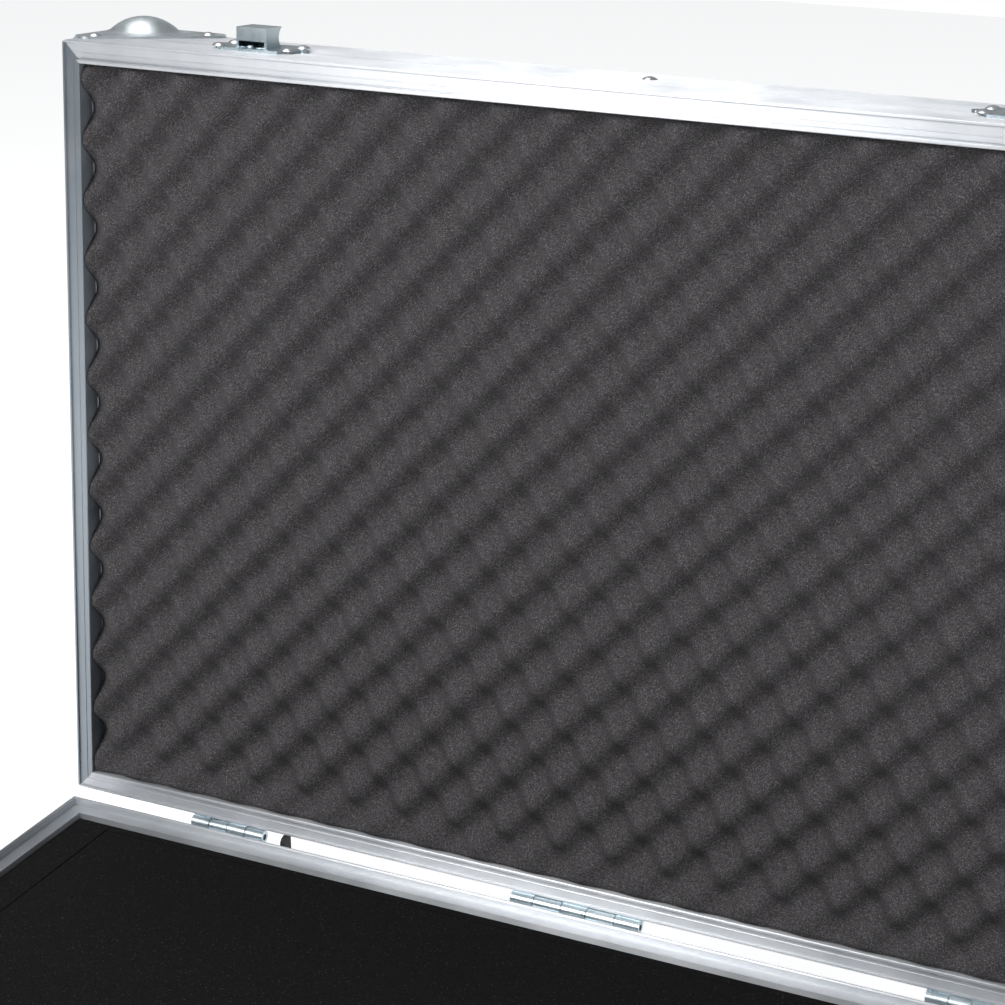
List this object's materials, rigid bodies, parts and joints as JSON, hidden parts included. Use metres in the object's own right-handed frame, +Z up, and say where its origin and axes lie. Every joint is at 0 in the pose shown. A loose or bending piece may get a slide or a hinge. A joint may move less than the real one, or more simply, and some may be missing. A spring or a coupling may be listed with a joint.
{
  "type": "guitar_pedal_case",
  "caption": "Open aluminium edged case for guitar pedals with ball corners, draw latches, a folding handle, black foam in the base and egg crate foam in the lid",
  "frame": {"origin": "Middle of the part's box in X and Y, on the plane the feet stand on", "axes": "+X along the case's length towards the right end, -Y towards the side with the latches and the handle, +Z up"},
  "size_m": [0.6828, 0.5918, 0.5709],
  "materials": {
    "laminate": "satin",
    "aluminium": "brushed",
    "zinc": "polished",
    "steel": "satin",
    "rubber": "matt",
    "black_foam": "matt",
    "grey_foam": "matt"
  },
  "bodies": {
    "base": {"base_floor_panel": "laminate", "base_front_panel": "laminate", "base_rear_panel": "laminate", "base_left_panel": "laminate", "base_right_panel": "laminate", "base_rim_front": "aluminium", "base_rim_rear": "aluminium", "base_rim_left": "aluminium", "base_rim_right": "aluminium", "base_edge_front": "aluminium", "base_edge_rear": "aluminium", "base_edge_left": "aluminium", "base_edge_right": "aluminium", "base_upright_angles": "aluminium", "base_ball_corners": "zinc", "base_rivets": "steel", "rubber_feet": "rubber", "foot_screws": "steel", "hinge_leaf_base_left": "zinc", "hinge_leaf_base_middle": "zinc", "hinge_leaf_base_right": "zinc", "hinge_pins": "steel", "lid_stops": "rubber", "latch_plates": "zinc", "latch_lever_pins": "steel", "handle_brackets": "zinc", "foam_floor": "black_foam", "foam_left": "black_foam", "foam_right": "black_foam", "foam_front": "black_foam", "foam_rear": "black_foam", "foam_insert": "black_foam"},
    "lid": {"lid_top_panel": "laminate", "lid_front_panel": "laminate", "lid_rear_panel": "laminate", "lid_left_panel": "laminate", "lid_right_panel": "laminate", "lid_rim_front": "aluminium", "lid_rim_rear": "aluminium", "lid_rim_left": "aluminium", "lid_rim_right": "aluminium", "lid_edge_front": "aluminium", "lid_edge_rear": "aluminium", "lid_edge_left": "aluminium", "lid_edge_right": "aluminium", "lid_ball_corners": "zinc", "lid_rivets": "steel", "lid_foam_backing": "black_foam", "lid_egg_crate_foam": "grey_foam", "hinge_leaf_lid_left": "zinc", "hinge_leaf_lid_middle": "zinc", "hinge_leaf_lid_right": "zinc", "keeper_plates": "zinc"},
    "handle": {"handle_bow": "zinc", "handle_grip": "rubber"},
    "lever_left": {"latch_lever_left": "zinc"},
    "lever_right": {"latch_lever_right": "zinc"},
    "bail_left": {"latch_bail_left": "steel"},
    "bail_right": {"latch_bail_right": "steel"}
  },
  "joints": [
    {"name": "lid_hinge", "type": "hinge", "parent": "base", "child": "lid", "pos_m": [0, 0.1817, 0.107], "axis": [1, 0, 0], "range_deg": [0, 94]},
    {"name": "handle_swing", "type": "hinge", "parent": "base", "child": "handle", "pos_m": [0, -0.2854, 0.09], "axis": [1, 0, 0], "range_deg": [-120, 0]},
    {"name": "lever_left", "type": "hinge", "parent": "base", "child": "lever_left", "pos_m": [-0.2225, -0.2819, 0.093], "axis": [1, 0, 0], "range_deg": [-150, 0]},
    {"name": "bail_left", "type": "hinge", "parent": "lever_left", "child": "bail_left", "pos_m": [-0.2225, -0.2792, 0.087], "axis": [-1, 0, 0], "range_deg": [0, 180]},
    {"name": "lever_right", "type": "hinge", "parent": "base", "child": "lever_right", "pos_m": [0.2035, -0.2819, 0.093], "axis": [1, 0, 0], "range_deg": [-150, 0]},
    {"name": "bail_right", "type": "hinge", "parent": "lever_right", "child": "bail_right", "pos_m": [0.2035, -0.2792, 0.087], "axis": [-1, 0, 0], "range_deg": [0, 180]}
  ]
}
